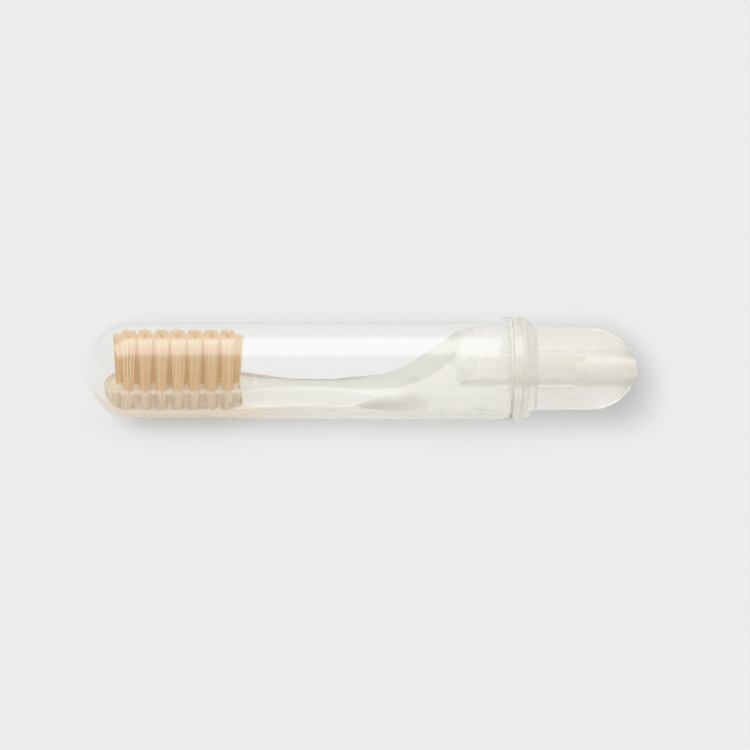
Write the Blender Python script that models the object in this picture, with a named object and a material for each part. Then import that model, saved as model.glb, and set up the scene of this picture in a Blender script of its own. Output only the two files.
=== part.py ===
"""Pocket toothbrush with a clear push-on cap.

The handle is one clear moulding: brush head, neck, scooped shoulder, round
land that the cap mouth grips, stop collar and round rear spigot, which the cap
also fits when the brush is in use.  The head is drilled with three staggered
rows of holes; each holds a folded bristle tuft locked by a flat brass anchor.
The spigot is cored out, and a stopper closes the core.

Frame: dimensions in millimetres, built in metres.  +Z is up and the bristles
point up; X runs along the brush.  The origin is the centre of the stopper's
flat outer end; the brush extends towards -X.
"""
import math

import bmesh
import bpy

MM = 0.001
SEGMENTS = 40                 # facets round the handle and the cap

# ------------------------------------------------------------------ cap sizes
# A drafted tube with a hemispherical end
CAP_MOUTH_X = -25.4
CAP_DOME_X = -100.85          # centre of the hemisphere
CAP_MOUTH_OUTER_R = 10.30
CAP_DOME_OUTER_R = 9.88
CAP_MOUTH_INNER_R = 8.96
CAP_DOME_INNER_R = 8.80
CAP_RIM_ROUND = 0.25
CAP_OUTER_STEPS = 9           # rings round each dome
CAP_INNER_STEPS = 8
CAP_TUBE_FRACTIONS = (0.66, 0.33)     # extra rings, measured from dome to mouth

# --------------------------------------------------- round part of the handle
BODY_R = 8.45                 # shank on the head side of the land
LAND_R = 8.65
COLLAR_FACE_X = -25.2         # also the end of the land
SPIGOT_ROOT_X = -20.5
SPIGOT_ROOT_R = 8.42          # drafts down to the tail dome
DOME_LENGTH = 9.12
DOME_X = -DOME_LENGTH         # where the tail dome starts
DOME_R = 8.20
DOME_STEPS = 11

# (x, radius) from the shank to the spigot root
ROUND_PROFILE = [
    (-31.4, BODY_R), (-30.6, BODY_R + 0.06), (-29.9, LAND_R - 0.06), (-29.2, LAND_R),
    (COLLAR_FACE_X, LAND_R), (COLLAR_FACE_X, 9.95),
    (COLLAR_FACE_X + 0.12, 10.15), (COLLAR_FACE_X + 0.45, 10.20),
    (COLLAR_FACE_X + 0.62, 10.12), (COLLAR_FACE_X + 0.80, 10.28),
    (-24.0, 10.47), (-23.5, 10.54), (-23.0, 10.48), (-22.5, 10.32), (-22.0, 9.96),
    (-21.5, 9.45), (-21.1, 8.95), (-20.8, 8.58), (SPIGOT_ROOT_X, SPIGOT_ROOT_R),
]

# Grip ribs at the four quadrants of the land and of the spigot
RIB_WIDTH = 0.90
RIB_CREST_SHARE = 0.8         # crest width as a share of the foot width
RIB_FOOT_R = 7.6              # buried inside the handle
LAND_RIB_R = 8.80
# ((x, crest radius) of one end, the same of the other end)
RIBS = (
    ((-29.05, LAND_RIB_R), (COLLAR_FACE_X + 0.3, LAND_RIB_R)),
    ((-13.0, 8.56), (SPIGOT_ROOT_X - 0.5, 8.62)),
)

# ----------------------------------------------------------- core and stopper
CORE_R = 2.50
CORE_SEGMENTS = SEGMENTS // 2
CORE_MID_X = -20.0            # ring part way along the core
CORE_END_X = -34.0
CORE_END_SLOPE = 0.84         # the blind end is cut on a slant, dx per dz
# (radius inset, shift towards the tail) of the rings rounding the blind end
CORE_END_RINGS = ((0.0, 0.45), (0.25, 0.12), (0.75, 0.0))
TAIL_LIP_ANGLE = math.asin(CORE_R / DOME_R)
TAIL_LIP_X = DOME_X + DOME_LENGTH * math.cos(TAIL_LIP_ANGLE)   # the core cuts the dome
TAIL_LIP_DEPTH = 0.30         # bevel from the dome into the core

STOPPER_R = 2.42
STOPPER_INNER_X = -10.5
STOPPER_NUB_R = 1.20
STOPPER_NUB_X = -12.7
STOPPER_FLAT_R = 1.50
STOPPER_CHAMFER = 0.25        # on the nub and on the inner end
STOPPER_SEGMENTS = 20

# -------------------------------------------------------------- head and neck
HEAD_TIP_X = -106.7
HEAD_END_X = -101.5           # where the rounded head end begins
HEAD_HALF_W = 5.20
HEAD_CENTRE_Z = -4.00
HEAD_POWER = 2.7
FACE_Z = -2.84
BACK_Z = -8.40                # underside of head and neck, one straight line
HEAD_END_ANGLES = (80, 68, 55, 42, 29, 15)    # degrees; sections from tip to head
HEAD_END_TOP_POWER = 0.35     # how the top and underside close in to the tip
HEAD_END_BACK_POWER = 0.9

# x, half width of the oval, height of the flat top, underside,
# oval centre height, oval exponent
STATIONS = [
    (HEAD_END_X, HEAD_HALF_W, FACE_Z, BACK_Z, HEAD_CENTRE_Z, HEAD_POWER),
    (-96.0, HEAD_HALF_W, FACE_Z, BACK_Z, HEAD_CENTRE_Z, HEAD_POWER),
    (-88.0, HEAD_HALF_W, FACE_Z, BACK_Z, HEAD_CENTRE_Z, HEAD_POWER),
    (-83.0, 5.12, FACE_Z, BACK_Z, HEAD_CENTRE_Z, HEAD_POWER),
    (-79.5, 4.80, FACE_Z, BACK_Z, -4.20, 2.6),
    (-76.5, 4.10, FACE_Z, BACK_Z, -4.60, 2.45),
    (-73.5, 3.40, -2.86, BACK_Z, -4.90, 2.3),
    (-70.5, 2.98, -2.92, BACK_Z, -5.10, 2.2),
    (-67.5, 2.84, -2.98, BACK_Z, -5.20, 2.2),
    (-61.5, 2.90, -3.06, BACK_Z, -5.20, 2.2),
    (-57.5, 3.60, -3.02, -8.41, -5.20, 2.25),
    (-52.9, 4.60, -2.66, -BODY_R, -5.35, 2.4),
    (-50.0, 5.20, -2.18, -BODY_R, -5.10, 2.35),
    (-47.9, 5.80, -1.66, -BODY_R, -4.70, 2.2),
    (-44.5, 6.90, -0.10, -BODY_R, -3.60, 2.0),
    (-41.5, 7.70, 1.90, -BODY_R, -2.20, 2.0),
    (-38.3, 8.20, 4.75, -BODY_R, -0.90, 2.0),
    (-36.3, 8.38, 6.95, -BODY_R, -0.20, 2.0),
    (-35.0, BODY_R, 8.35, -BODY_R, 0.0, 2.0),
    (-33.6, BODY_R, 10.20, -BODY_R, 0.0, 2.0),
    (-32.4, BODY_R, 14.0, -BODY_R, 0.0, 2.0),
]
# x of the sections that are built, interpolated between the stations
SECTION_XS = (
    HEAD_END_X, -97.0, -88.0, -83.5, -81.0, -79.0, -77.4, -75.8, -74.2, -72.4, -70.5,
    -67.5, -63.0, -59.5, -56.5, -54.0, -51.5, -49.3, -47.3, -45.5, -43.8, -42.2,
    -40.7, -39.3, -38.0, -36.9, -36.0, -35.2, -34.4, -33.4, -32.2,
)
TOP_EDGE_POWER = 16           # how sharply the flat top meets the sides
OUTLINE_SAMPLES = 240         # fine samples down one side of a section
MAX_REACH = 40.0              # search limit and halvings for an outline point
REACH_HALVINGS = 44

# Shallow round mark on top of the neck
MARK_X = -76.5
MARK_R = 1.02
MARK_DEPTH = 0.30
MARK_SIDES = 16

# ---------------------------------------------------------- tufts and anchors
TUFT_MID_X = -91.9
TUFT_PITCH = 3.28
ROW_PITCH = 3.20
# name, y, tuft count, direction in Y in which the tips lean
ROWS = (
    ("front", -ROW_PITCH, 7, 1),
    ("middle", 0.0, 8, 0),
    ("rear", ROW_PITCH, 7, -1),
)
HOLE_R = 0.97
HOLE_FLOOR_Z = -6.95
CUTTER_TOP_Z = FACE_Z + 1.0   # clear of the face
TUFT_SIDES = 10
TUFT_R = 0.92
TUFT_TIP_RX = 1.42
TUFT_TIP_RY = 1.12
TUFT_LEAN = 1.05              # outer rows draw in by this much at the tips
TUFT_ROOT_Z = -6.88
TUFT_TOP_Z = 7.20
# z, radius scale, share of the flare and lean reached
TUFT_LEVELS = (
    (TUFT_ROOT_Z, 0.72, 0.0),
    (TUFT_ROOT_Z + 0.25, 1.0, 0.0),
    (FACE_Z + 0.1, 1.0, 0.0),
    (0.6, 1.0, 0.30),
    (TUFT_TOP_Z - 0.12, 1.0, 1.0),
    (TUFT_TOP_Z, 0.93, 1.0),
)
ANCHOR_LENGTH = 2.60
ANCHOR_THICKNESS = 0.30
ANCHOR_HEIGHT = 1.15
ANCHOR_Z = -5.95              # centre height
ANCHOR_TURN = math.radians(-35)
ANCHOR_GAP = 0.05             # clearance round each anchor

# ------------------------------------------------------------------ materials
REFRACTIVE_INDEX = 1.49


def material(name, colour, roughness, metallic=0.0, transmission=0.0):
    mat = bpy.data.materials.new(name)
    mat.use_nodes = True
    inputs = mat.node_tree.nodes["Principled BSDF"].inputs
    inputs["Base Color"].default_value = (*colour, 1.0)
    inputs["Roughness"].default_value = roughness
    inputs["Metallic"].default_value = metallic
    inputs["Transmission Weight"].default_value = transmission
    inputs["IOR"].default_value = REFRACTIVE_INDEX
    mat.diffuse_color = (*colour, 1.0)
    return mat


def cap_material():
    return material("cap_clear", colour=(0.93, 0.94, 0.93), roughness=0.04, transmission=1.0)


def handle_material():
    return material("handle_clear", colour=(0.91, 0.90, 0.84), roughness=0.10,
                    transmission=1.0)


def stopper_material():
    return material("stopper_clear", colour=(0.93, 0.90, 0.88), roughness=0.08,
                    transmission=1.0)


def bristle_material():
    return material("bristle", colour=(0.72, 0.52, 0.34), roughness=0.65)


def brass_material():
    return material("anchor_brass", colour=(0.80, 0.62, 0.22), roughness=0.30, metallic=1.0)


# -------------------------------------------------------------- mesh building
def add_vert(bm, x, y, z):
    return bm.verts.new((x * MM, y * MM, z * MM))


def add_section(bm, x, section):
    """Loop of vertices at x through the (y, z) points of a section."""
    return [add_vert(bm, x, y, z) for y, z in section]


def add_ellipse(bm, x, y, z, radius_x, radius_y, count):
    """Level loop of vertices round (x, y, z)."""
    angles = [2 * math.pi * i / count for i in range(count)]
    return [add_vert(bm, x + radius_x * math.cos(a), y + radius_y * math.sin(a), z)
            for a in angles]


def ring(radius, count):
    """Circular section with a facet, not a corner, at the top and at the bottom."""
    angles = [2 * math.pi * (i + 0.5) / count for i in range(count)]
    return [(radius * math.sin(a), radius * math.cos(a)) for a in angles]


def bridge(bm, first, second):
    count = len(first)
    for i in range(count):
        j = (i + 1) % count
        bm.faces.new((first[i], first[j], second[j], second[i]))


def bridge_all(bm, loops):
    for first, second in zip(loops, loops[1:]):
        bridge(bm, first, second)


def fan(bm, loop, apex):
    for i, vert in enumerate(loop):
        bm.faces.new((vert, loop[(i + 1) % len(loop)], apex))


def close_stack(bm, loops):
    """Solid through a stack of loops, with a flat face at each end."""
    bridge_all(bm, loops)
    bm.faces.new(loops[0])
    bm.faces.new(loops[-1])


def turned(bm, profile, start_x=None, end_x=None, count=SEGMENTS):
    """Revolve (x, radius) points about X; an end given an apex x is closed."""
    loops = [add_section(bm, x, ring(radius, count)) for x, radius in profile]
    bridge_all(bm, loops)
    if start_x is not None:
        fan(bm, loops[0], add_vert(bm, start_x, 0, 0))
    if end_x is not None:
        fan(bm, loops[-1], add_vert(bm, end_x, 0, 0))
    return loops


def new_object(name, bm):
    bmesh.ops.recalc_face_normals(bm, faces=bm.faces)
    mesh = bpy.data.meshes.new(name)
    bm.to_mesh(mesh)
    bm.free()
    obj = bpy.data.objects.new(name, mesh)
    bpy.context.scene.collection.objects.link(obj)
    return obj


def new_piece(name, bm, mat, smooth_degrees=35):
    obj = new_object(name, bm)
    obj.data.materials.append(mat)
    obj.data.shade_smooth()
    obj.data.set_sharp_from_angle(angle=math.radians(smooth_degrees))
    return obj


def new_helper(name, bm):
    """Unrendered solid for a boolean."""
    obj = new_object(name, bm)
    obj.hide_render = True
    obj.display_type = "WIRE"
    return obj


def add_boolean(obj, helper, operation):
    modifier = obj.modifiers.new(helper.name, "BOOLEAN")
    modifier.operation = operation
    modifier.object = helper
    modifier.solver = "EXACT"


# ----------------------------------------------------- head and neck sections
def monotone_cubic(xs, ys, x):
    """Interpolate without overshoot; clamp beyond the ends."""
    if x <= xs[0]:
        return ys[0]
    if x >= xs[-1]:
        return ys[-1]
    steps = [b - a for a, b in zip(xs, xs[1:])]
    slopes = [(b - a) / step for a, b, step in zip(ys, ys[1:], steps)]

    def tangent(i):
        if i == 0:
            return slopes[0]
        if i == len(xs) - 1:
            return slopes[-1]
        before, after = slopes[i - 1], slopes[i]
        if before * after <= 0:
            return 0.0
        weight_before = 2 * steps[i] + steps[i - 1]
        weight_after = steps[i] + 2 * steps[i - 1]
        return ((weight_before + weight_after)
                / (weight_before / before + weight_after / after))

    k = max(i for i in range(len(steps)) if xs[i] <= x)
    t = (x - xs[k]) / steps[k]
    start_rise = tangent(k) * steps[k]
    end_rise = tangent(k + 1) * steps[k]
    return ((2 * t**3 - 3 * t**2 + 1) * ys[k] + (t**3 - 2 * t**2 + t) * start_rise
            + (-2 * t**3 + 3 * t**2) * ys[k + 1] + (t**3 - t**2) * end_rise)


def oval_half_outline(half_w, top, back, centre, power):
    """Fine (y, z) points down the +Y side of an oval cut off by a flat top."""
    rise = centre - back
    middle = 0.5 * (min(top, centre + rise) + back)
    points = []
    for i in range(OUTLINE_SAMPLES + 1):
        angle = math.pi * i / OUTLINE_SAMPLES
        dy, dz = math.sin(angle), math.cos(angle)
        # bisect for the distance from the middle to the oval
        reach, too_far = 0.0, MAX_REACH
        for _ in range(REACH_HALVINGS):
            trial = 0.5 * (reach + too_far)
            y, z = trial * dy, middle + trial * dz
            if abs(y / half_w) ** power + abs((z - centre) / rise) ** power < 1:
                reach = trial
            else:
                too_far = trial
        # a soft minimum with the flat top rounds the edge between them
        if dz > 1e-9:
            top_reach = (top - middle) / dz
            reach = ((reach ** -TOP_EDGE_POWER + top_reach ** -TOP_EDGE_POWER)
                     ** (-1.0 / TOP_EDGE_POWER))
        points.append((reach * dy, middle + reach * dz))
    return points


def spread_points(points, count):
    """Pick count points, weighing arc length and turning of the outline equally."""
    arc, turn = [0.0], [0.0]
    last_heading = None
    for (y0, z0), (y1, z1) in zip(points, points[1:]):
        arc.append(arc[-1] + math.hypot(y1 - y0, z1 - z0))
        heading = math.atan2(z1 - z0, y1 - y0)
        bend = 0.0
        if last_heading is not None:
            bend = (heading - last_heading + math.pi) % (2 * math.pi) - math.pi
        turn.append(turn[-1] + abs(bend))
        last_heading = heading
    measure = [0.5 * a / arc[-1] + 0.5 * b / turn[-1] for a, b in zip(arc, turn)]

    picked, j = [], 0
    for i in range(count):
        target = (i + 0.5) / count
        while j < len(points) - 2 and measure[j + 1] < target:
            j += 1
        t = (target - measure[j]) / max(1e-12, measure[j + 1] - measure[j])
        t = min(1.0, max(0.0, t))
        (y0, z0), (y1, z1) = points[j], points[j + 1]
        picked.append((y0 * (1 - t) + y1 * t, z0 * (1 - t) + z1 * t))
    return picked


def oval_section(half_w, top, back, centre, power):
    """Closed (y, z) section from the top middle towards +Y, down and round."""
    outline = oval_half_outline(half_w, top, back, centre, power)
    side = spread_points(outline, SEGMENTS // 2)
    return side + [(-y, z) for y, z in reversed(side)]


def head_end_section(x):
    """Section of the rounded head end, between the tip and HEAD_END_X."""
    along = (HEAD_END_X - x) / (HEAD_END_X - HEAD_TIP_X)
    shrink = math.sqrt(max(0.0, 1 - along ** 2))
    top = HEAD_CENTRE_Z + (FACE_Z - HEAD_CENTRE_Z) * shrink ** HEAD_END_TOP_POWER
    back = HEAD_CENTRE_Z - (HEAD_CENTRE_Z - BACK_Z) * shrink ** HEAD_END_BACK_POWER
    return oval_section(HEAD_HALF_W * shrink, top, back, HEAD_CENTRE_Z, HEAD_POWER)


def station_section(x):
    xs, *columns = zip(*STATIONS)
    return oval_section(*(monotone_cubic(xs, column, x) for column in columns))


# ------------------------------------------------------------------------ cap
def cap_profile(mouth_r, dome_r, steps, side):
    """(x, radius) from mouth to dome; side is 1 for the outer wall, -1 for the inner."""
    rim = CAP_RIM_ROUND
    rim_mid = rim * (1 - math.sqrt(0.5))
    profile = [(CAP_MOUTH_X, mouth_r - side * rim),
               (CAP_MOUTH_X - rim_mid, mouth_r - side * rim_mid),
               (CAP_MOUTH_X - rim, mouth_r)]
    for share in CAP_TUBE_FRACTIONS:
        profile.append((CAP_DOME_X + share * (CAP_MOUTH_X - CAP_DOME_X),
                        dome_r + share * (mouth_r - dome_r)))
    for i in range(steps):
        angle = math.pi / 2 * i / steps
        profile.append((CAP_DOME_X - dome_r * math.sin(angle), dome_r * math.cos(angle)))
    return profile


def build_cap(mat):
    bm = bmesh.new()
    outer = turned(bm, cap_profile(CAP_MOUTH_OUTER_R, CAP_DOME_OUTER_R, CAP_OUTER_STEPS, 1),
                   end_x=CAP_DOME_X - CAP_DOME_OUTER_R)
    inner = turned(bm, cap_profile(CAP_MOUTH_INNER_R, CAP_DOME_INNER_R, CAP_INNER_STEPS, -1),
                   end_x=CAP_DOME_X - CAP_DOME_INNER_R)
    bridge(bm, inner[0], outer[0])
    return new_piece("cap", bm, mat)


# --------------------------------------------------------------------- handle
def tail_dome_profile():
    """(x, radius) of the tail dome, from the spigot to the core mouth."""
    angles = [(math.pi / 2 - TAIL_LIP_ANGLE) * i / DOME_STEPS for i in range(DOME_STEPS + 1)]
    return [(DOME_X + DOME_LENGTH * math.sin(a), DOME_R * math.cos(a)) for a in angles]


def add_handle_skin(bm):
    """Outside of the handle from the head tip; returns the loop at the core mouth."""
    tip = add_vert(bm, HEAD_TIP_X, 0, HEAD_CENTRE_Z)
    loops = []
    for degrees in HEAD_END_ANGLES:
        x = HEAD_END_X - (HEAD_END_X - HEAD_TIP_X) * math.sin(math.radians(degrees))
        loops.append(add_section(bm, x, head_end_section(x)))
    for x in SECTION_XS:
        loops.append(add_section(bm, x, station_section(x)))
    for x, radius in ROUND_PROFILE + tail_dome_profile():
        loops.append(add_section(bm, x, ring(radius, SEGMENTS)))
    fan(bm, loops[0], tip)
    bridge_all(bm, loops)
    return loops[-1]


def add_core(bm):
    """Core wall and its slanted blind end; returns the loop at the mouth."""
    loops = [add_section(bm, x, ring(CORE_R, CORE_SEGMENTS))
             for x in (TAIL_LIP_X - TAIL_LIP_DEPTH, CORE_MID_X)]
    for inset, shift in CORE_END_RINGS:
        loops.append([add_vert(bm, CORE_END_X + CORE_END_SLOPE * z + shift, y, z)
                      for y, z in ring(CORE_R - inset, CORE_SEGMENTS)])
    bridge_all(bm, loops)
    fan(bm, loops[-1], add_vert(bm, CORE_END_X, 0, 0))
    return loops[0]


def join_tail_lip(bm, dome, core):
    """Join the dome edge to the core, which has half as many sides."""
    for i in range(CORE_SEGMENTS):
        j = (i + 1) % CORE_SEGMENTS
        bm.faces.new((dome[2 * i], dome[2 * i + 1], core[i]))
        bm.faces.new((dome[2 * i + 1], dome[(2 * i + 2) % SEGMENTS], core[j], core[i]))


def build_rib_stock():
    bm = bmesh.new()
    foot = RIB_WIDTH / 2
    crest = foot * RIB_CREST_SHARE
    for quadrant in range(4):
        cos = math.cos(quadrant * math.pi / 2)
        sin = math.sin(quadrant * math.pi / 2)
        for rib in RIBS:
            ends = []
            for x, crest_r in rib:
                corners = ((RIB_FOOT_R, -foot), (RIB_FOOT_R, foot),
                           (crest_r, crest), (crest_r, -crest))
                ends.append([add_vert(bm, x, radius * sin + across * cos,
                                      radius * cos - across * sin)
                             for radius, across in corners])
            close_stack(bm, ends)
    return new_helper("rib_stock", bm)


def add_round_cutter(bm, x, y, floor_z, radius, sides):
    close_stack(bm, [add_ellipse(bm, x, y, z, radius, radius, sides)
                     for z in (floor_z, CUTTER_TOP_Z)])


def build_hole_cutter():
    """Neck mark and tuft holes."""
    bm = bmesh.new()
    add_round_cutter(bm, MARK_X, 0, FACE_Z - MARK_DEPTH, MARK_R, MARK_SIDES)
    for _, x, y, _ in tuft_places():
        add_round_cutter(bm, x, y, HOLE_FLOOR_Z, HOLE_R, TUFT_SIDES)
    return new_helper("hole_cutter", bm)


def build_anchor_pocket_cutter():
    """Pockets that the anchor ends bite into."""
    bm = bmesh.new()
    for _, x, y, _ in tuft_places():
        add_anchor_box(bm, x, y, ANCHOR_GAP)
    return new_helper("anchor_pocket_cutter", bm)


def build_handle(mat):
    bm = bmesh.new()
    dome_edge = add_handle_skin(bm)
    core_mouth = add_core(bm)
    join_tail_lip(bm, dome_edge, core_mouth)
    handle = new_piece("handle", bm, mat, smooth_degrees=30)
    add_boolean(handle, build_rib_stock(), "UNION")
    add_boolean(handle, build_hole_cutter(), "DIFFERENCE")
    add_boolean(handle, build_anchor_pocket_cutter(), "DIFFERENCE")
    return handle


# -------------------------------------------------------------------- stopper
def build_stopper(mat):
    bm = bmesh.new()
    chamfer = STOPPER_CHAMFER
    profile = [(STOPPER_NUB_X, STOPPER_NUB_R - chamfer),
               (STOPPER_NUB_X + chamfer, STOPPER_NUB_R),
               (STOPPER_INNER_X, STOPPER_NUB_R),
               (STOPPER_INNER_X, STOPPER_R - chamfer),
               (STOPPER_INNER_X + chamfer, STOPPER_R),
               (TAIL_LIP_X - 0.10, STOPPER_R),
               (TAIL_LIP_X + 0.14, STOPPER_R - 0.30),
               (-0.06, STOPPER_FLAT_R + 0.22),
               (0.0, STOPPER_FLAT_R)]
    turned(bm, profile, start_x=STOPPER_NUB_X, end_x=0.0, count=STOPPER_SEGMENTS)
    return new_piece("stopper", bm, mat)


# ---------------------------------------------------------- tufts and anchors
def tuft_places():
    """(label, x, y, lean direction) of every tuft."""
    return [(f"{row}_{i + 1}", TUFT_MID_X + (i - (count - 1) / 2) * TUFT_PITCH, y, lean)
            for row, y, count, lean in ROWS for i in range(count)]


def add_anchor_box(bm, x, y, grow):
    """Flat anchor turned about Z, enlarged by grow on every side."""
    cos, sin = math.cos(ANCHOR_TURN), math.sin(ANCHOR_TURN)
    half_length = ANCHOR_LENGTH / 2 + grow
    half_thickness = ANCHOR_THICKNESS / 2 + grow
    half_height = ANCHOR_HEIGHT / 2 + grow
    loops = []
    for z in (ANCHOR_Z - half_height, ANCHOR_Z + half_height):
        loop = []
        for u, v in ((-1, -1), (1, -1), (1, 1), (-1, 1)):
            along, across = u * half_length, v * half_thickness
            loop.append(add_vert(bm, x + along * cos - across * sin,
                                 y + along * sin + across * cos, z))
        loops.append(loop)
    close_stack(bm, loops)


def build_window(label, x, y):
    """Cutter for the slot that the anchor takes through its tuft."""
    bm = bmesh.new()
    add_anchor_box(bm, x, y, ANCHOR_GAP)
    return new_helper(f"window_{label}", bm)


def build_tuft(label, x, y, lean, mat, window):
    """A round root in its hole, then a flaring brush."""
    bm = bmesh.new()
    loops = []
    for z, scale, share in TUFT_LEVELS:
        radius_x = (TUFT_R + (TUFT_TIP_RX - TUFT_R) * share) * scale
        radius_y = (TUFT_R + (TUFT_TIP_RY - TUFT_R) * share) * scale
        loops.append(add_ellipse(bm, x, y + lean * TUFT_LEAN * share, z,
                                 radius_x, radius_y, TUFT_SIDES))
    close_stack(bm, loops)
    tuft = new_piece(f"tuft_{label}", bm, mat, smooth_degrees=60)
    add_boolean(tuft, window, "DIFFERENCE")
    return tuft


def build_anchor(label, x, y, mat):
    bm = bmesh.new()
    add_anchor_box(bm, x, y, 0.0)
    return new_piece(f"anchor_{label}", bm, mat)


def main():
    for obj in list(bpy.data.objects):
        bpy.data.objects.remove(obj)
    build_cap(cap_material())
    build_handle(handle_material())
    build_stopper(stopper_material())
    bristle, brass = bristle_material(), brass_material()
    for label, x, y, lean in tuft_places():
        window = build_window(label, x, y)
        build_tuft(label, x, y, lean, bristle, window)
        build_anchor(label, x, y, brass)


main()
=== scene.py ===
"""A clear travel toothbrush with a clear cap over its head.

The brush lies along X: the head is at the -X end, the tail ends at about X = 0,
and the bristles stand up along +Z. The cap's mouth opens towards +X and meets
the collar of the handle. The camera looks along +Y and down. Shapes are in
millimetres and are scaled to metres as they become meshes; the studio is in metres."""
import math

import bmesh
import bpy
import numpy as np
from mathutils import Matrix, Vector


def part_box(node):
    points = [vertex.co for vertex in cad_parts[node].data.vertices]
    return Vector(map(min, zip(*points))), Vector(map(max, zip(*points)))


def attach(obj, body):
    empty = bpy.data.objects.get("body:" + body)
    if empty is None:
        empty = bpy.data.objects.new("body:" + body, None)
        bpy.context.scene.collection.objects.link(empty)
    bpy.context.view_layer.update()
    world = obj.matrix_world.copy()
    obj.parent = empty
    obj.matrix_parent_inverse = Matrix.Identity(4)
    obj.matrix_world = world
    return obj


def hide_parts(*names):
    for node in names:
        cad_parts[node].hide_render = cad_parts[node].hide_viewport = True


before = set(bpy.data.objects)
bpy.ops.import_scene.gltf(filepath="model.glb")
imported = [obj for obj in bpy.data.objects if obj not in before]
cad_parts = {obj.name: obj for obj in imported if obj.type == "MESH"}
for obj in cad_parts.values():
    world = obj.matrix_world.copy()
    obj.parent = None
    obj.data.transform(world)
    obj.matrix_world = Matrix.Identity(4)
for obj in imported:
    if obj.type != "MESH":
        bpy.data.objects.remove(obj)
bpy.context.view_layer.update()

MM = 0.001


def box_mm(piece):
    """Low and high corner of a CAD piece, in millimetres."""
    return [np.array(corner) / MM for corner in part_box(piece)]


# ------------------------------------------------------------ sizes and places, mm
CAP_LO, CAP_HI = box_mm("cap")
HANDLE_LO = box_mm("handle")[0]
STOPPER_LO, STOPPER_HI = box_mm("stopper")
SEG = 208                                # facets round the cap and the handle

# cap: a dome, then a wall that widens slightly to the mouth
CAP_MOUTH_X = CAP_HI[0]
CAP_OUTER_R_MOUTH, CAP_OUTER_R_DOME = 10.30, 9.88
CAP_INNER_R_MOUTH, CAP_INNER_R_DOME = 8.96, 8.80
CAP_RIM_R = 0.14                         # rounding of the mouth's two edges
CAP_DOME_X = CAP_LO[0] + CAP_OUTER_R_DOME   # where dome and wall meet

# head and neck
HEAD_TIP_X = HANDLE_LO[0]
NOSE_LENGTH = 5.2                        # rounded end of the head
FACE_Z = -2.84                           # flat face the bristles stand on
HOLE_Z = -6.95                           # floor of the tuft holes
MARK_X = STOPPER_HI[0] - 76.5            # ejector mark on the neck

# round part of the handle
BARREL_R, GRIP_R = 8.45, 8.65            # before and after the step up to the cap's mouth
TAIL_START_X, TAIL_START_R = -20.5, 8.42
TAIL_DOME_X, TAIL_DOME_R = -9.12, 8.20
TAIL_DOME_LENGTH = -TAIL_DOME_X

# core: the blind bore into the tail, closed by the stopper
CORE_R = 2.50
CORE_MOUTH_ANGLE = math.asin(CORE_R / TAIL_DOME_R)
CORE_MOUTH_X = TAIL_DOME_X + TAIL_DOME_LENGTH * math.cos(CORE_MOUTH_ANGLE)

# ------------------------------------------------------------ studio tuning
CAMERA_ELEVATION, CAMERA_YAW = math.radians(26.5), math.radians(3.5)
FLOOR_GREY = 0.555
SKY_STRENGTH = 0.76
SKY_LIFT = 0.45                          # extra strength towards the top of the sky
KEY_RADIANCE = 2.25                      # lights the floor and the bristles
CARD_RADIANCE = 5.4                      # seen only as a reflection
# strength of the bristles' painted glow, an emission that stands in for light scattered in the
# bundle
BRISTLE_PAINTED_GLOW = 0.115


# ------------------------------------------------------------ mesh helpers
def make_object(name, verts, faces, material=None):
    """A smooth-shaded object from vertices in millimetres."""
    mesh = bpy.data.meshes.new(name)
    mesh.from_pydata([tuple(v) for v in (np.asarray(verts) * MM)], [], faces)
    mesh.validate()
    mesh.update()
    obj = bpy.data.objects.new(name, mesh)
    bpy.context.scene.collection.objects.link(obj)
    if material is not None:
        mesh.materials.append(material)
    mesh.shade_smooth()
    return obj


def fix_normals(obj):
    bm = bmesh.new()
    bm.from_mesh(obj.data)
    bmesh.ops.recalc_face_normals(bm, faces=bm.faces)
    bm.to_mesh(obj.data)
    bm.free()


def ring_faces(start, next_start, count):
    """Quads that join two rings of count points."""
    return [(start + i, start + (i + 1) % count, next_start + (i + 1) % count, next_start + i)
            for i in range(count)]


def fan_faces(start, centre, count, reverse=False):
    """Triangles that close a ring on a centre point."""
    pairs = [(start + i, start + (i + 1) % count) for i in range(count)]
    return [(b, a, centre) if reverse else (a, b, centre) for a, b in pairs]


class Loft:
    """Rings of the same number of points, joined in order; the ends close on poles."""

    def __init__(self, count):
        self.count = count
        self.verts = []
        self.faces = []
        self.starts = []

    def add_points(self, points):
        start = sum(len(v) for v in self.verts)
        self.verts.append(np.asarray(points, float))
        return start

    def ring(self, points):
        self.starts.append(self.add_points(points))
        if len(self.starts) > 1:
            self.faces += ring_faces(self.starts[-2], self.starts[-1], self.count)

    def pole(self, point, first=False):
        centre = self.add_points([point])
        start = self.starts[0] if first else self.starts[-1]
        self.faces += fan_faces(start, centre, self.count, reverse=first)

    def object(self, name, material):
        obj = make_object(name, np.concatenate(self.verts), self.faces, material)
        fix_normals(obj)
        return obj


def ring_angles(count):
    return 2 * math.pi * (np.arange(count) + 0.5) / count


def circle_ring(x, radius, count=SEG):
    """A ring round the X axis; the radius may vary from point to point."""
    angle = ring_angles(count)
    radius = np.broadcast_to(radius, (count,))
    return np.stack([np.full(count, float(x)), radius * np.sin(angle), radius * np.cos(angle)], 1)


def arc(centre_x, centre_r, radius, start, end, count):
    """Points of an arc in the (x, r) plane, angles in degrees."""
    return [(centre_x + radius * math.cos(math.radians(a)),
             centre_r + radius * math.sin(math.radians(a)))
            for a in np.linspace(start, end, count)]


def revolve(name, profile, start_x, end_x, material, count=SEG):
    """Turns an (x, r) profile round the X axis, closed at both ends on the axis."""
    loft = Loft(count)
    for x, radius in profile:
        loft.ring(circle_ring(x, radius, count))
    loft.pole((start_x, 0, 0), first=True)
    loft.pole((end_x, 0, 0))
    obj = loft.object(name, material)
    obj.data.set_sharp_from_angle(angle=math.radians(40))
    return obj


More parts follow.
